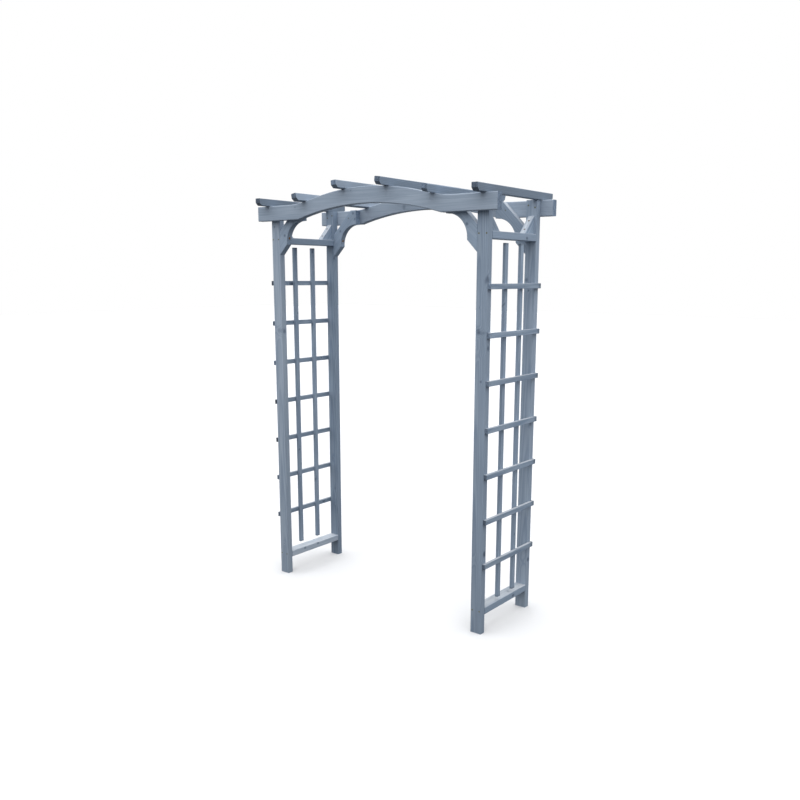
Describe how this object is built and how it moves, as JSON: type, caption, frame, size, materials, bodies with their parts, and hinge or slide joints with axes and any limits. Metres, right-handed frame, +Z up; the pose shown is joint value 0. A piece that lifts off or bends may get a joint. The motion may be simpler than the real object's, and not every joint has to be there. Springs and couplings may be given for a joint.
{
  "type": "garden arbor",
  "caption": "Free-standing softwood garden arbor: lattice sides, curved knee braces, arched beams and open rafters over a walkway.",
  "frame": {"origin": "on the ground at the middle of the footprint, below the middle of the arch", "axes": "+X to the viewer's right across the walkway, +Y from the front beam to the back beam, +Z up"},
  "size_m": [1.488, 0.638, 2.103],
  "materials": {
    "stained_softwood": "thin blue-grey stain on planed softwood, grain and knots showing, matt",
    "screw_steel": "yellow-passivated steel screw heads, dulled outdoors"
  },
  "bodies": {
    "root": {"beam_front": "stained_softwood", "beam_back": "stained_softwood", "post_front_left": "stained_softwood", "post_front_right": "stained_softwood", "post_back_left": "stained_softwood", "post_back_right": "stained_softwood", "brace_front_left": "stained_softwood", "brace_front_right": "stained_softwood", "brace_back_left": "stained_softwood", "brace_back_right": "stained_softwood", "gusset_front_left": "stained_softwood", "gusset_front_right": "stained_softwood", "gusset_back_left": "stained_softwood", "gusset_back_right": "stained_softwood", "upper_rail_left": "stained_softwood", "upper_rail_right": "stained_softwood", "bottom_rail_left": "stained_softwood", "bottom_rail_right": "stained_softwood", "lattice_left": "stained_softwood", "lattice_right": "stained_softwood", "rafter_1": "stained_softwood", "rafter_2": "stained_softwood", "rafter_3": "stained_softwood", "rafter_4": "stained_softwood", "rafter_5": "stained_softwood", "rafter_6": "stained_softwood"}
  },
  "joints": []
}
